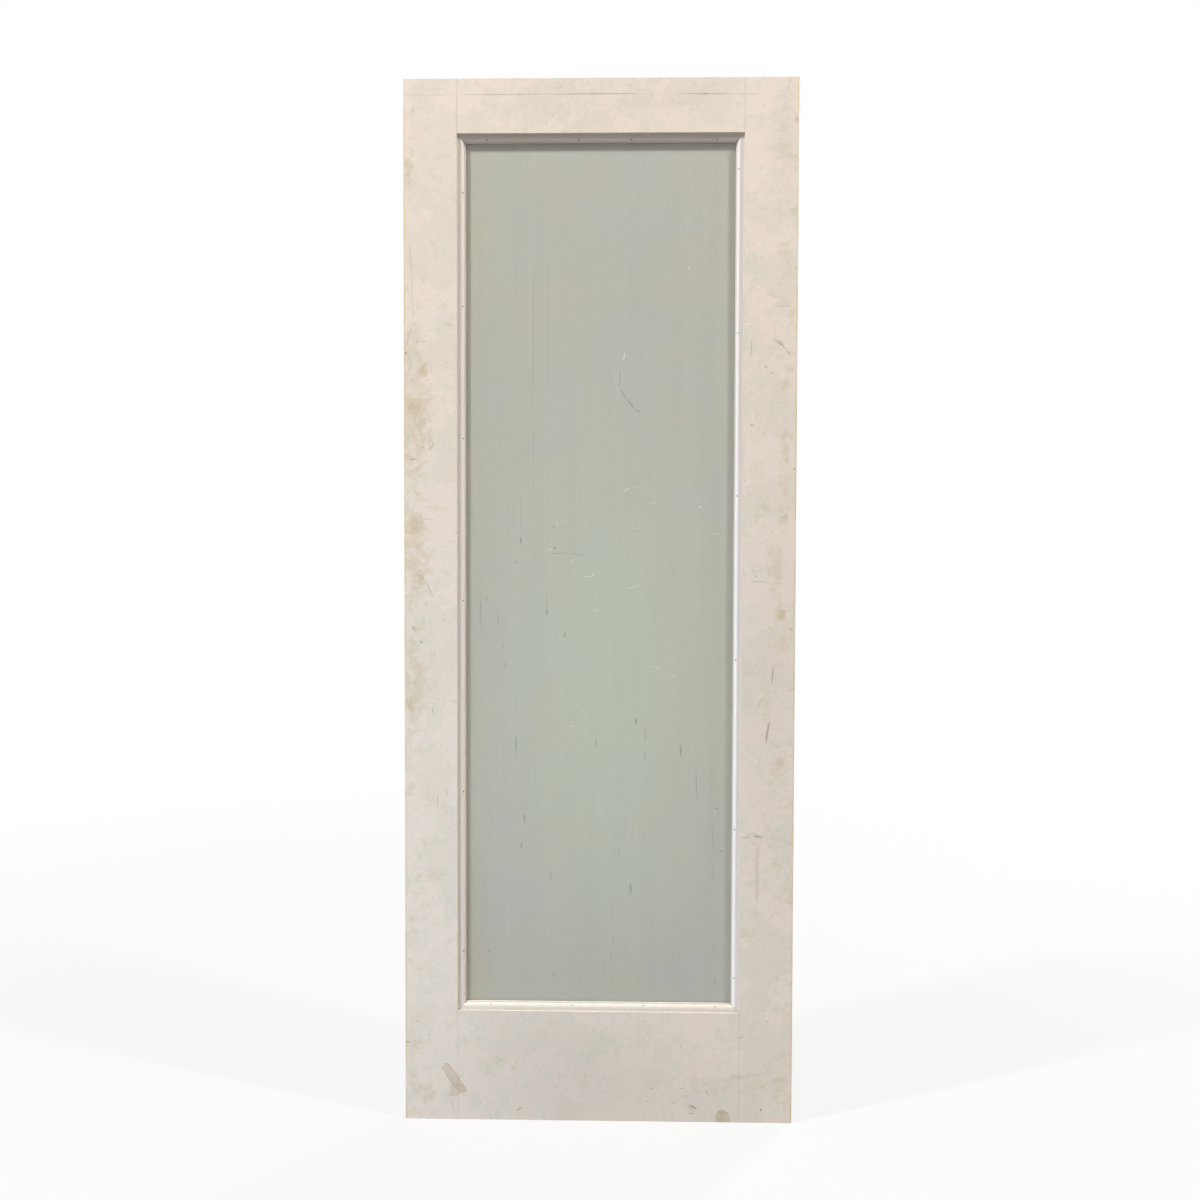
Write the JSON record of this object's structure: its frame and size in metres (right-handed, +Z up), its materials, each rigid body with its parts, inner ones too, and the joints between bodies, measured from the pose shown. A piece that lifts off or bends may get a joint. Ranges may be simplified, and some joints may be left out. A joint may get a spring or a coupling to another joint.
{
  "type": "interior glass door leaf",
  "caption": "Primed timber door leaf with full-height stiles, top and bottom rails and one tall satin glass pane held by mitred ovolo stops on both faces.",
  "frame": {"origin": "foot of the hinge edge, in the middle of the leaf's thickness, on the face of the edge that the hinges are screwed to", "axes": "+X across the leaf from the hinge edge to the lock edge, +Y from the front face to the back, +Z up the leaf"},
  "size_m": [0.762, 0.035, 2.032],
  "materials": {
    "primed_skin": "satin",
    "primed_stop": "satin",
    "edge_band": "satin",
    "timber_core": "matte",
    "satin_glass": "satin",
    "glazing_tape": "matte"
  },
  "bodies": {
    "root": {"left_stile_core": "timber_core", "right_stile_core": "timber_core", "top_rail_core": "timber_core", "bottom_rail_core": "timber_core", "left_stile_edge_band": "edge_band", "right_stile_edge_band": "edge_band", "glass_pane": "satin_glass", "left_stile_front_skin": "primed_skin", "right_stile_front_skin": "primed_skin", "top_rail_front_skin": "primed_skin", "bottom_rail_front_skin": "primed_skin", "front_stop_top": "primed_stop", "front_stop_bottom": "primed_stop", "front_stop_left": "primed_stop", "front_stop_right": "primed_stop", "front_tape_top": "glazing_tape", "front_tape_bottom": "glazing_tape", "front_tape_left": "glazing_tape", "front_tape_right": "glazing_tape", "left_stile_back_skin": "primed_skin", "right_stile_back_skin": "primed_skin", "top_rail_back_skin": "primed_skin", "bottom_rail_back_skin": "primed_skin", "back_stop_top": "primed_stop", "back_stop_bottom": "primed_stop", "back_stop_left": "primed_stop", "back_stop_right": "primed_stop", "back_tape_top": "glazing_tape", "back_tape_bottom": "glazing_tape", "back_tape_left": "glazing_tape", "back_tape_right": "glazing_tape"}
  },
  "joints": []
}
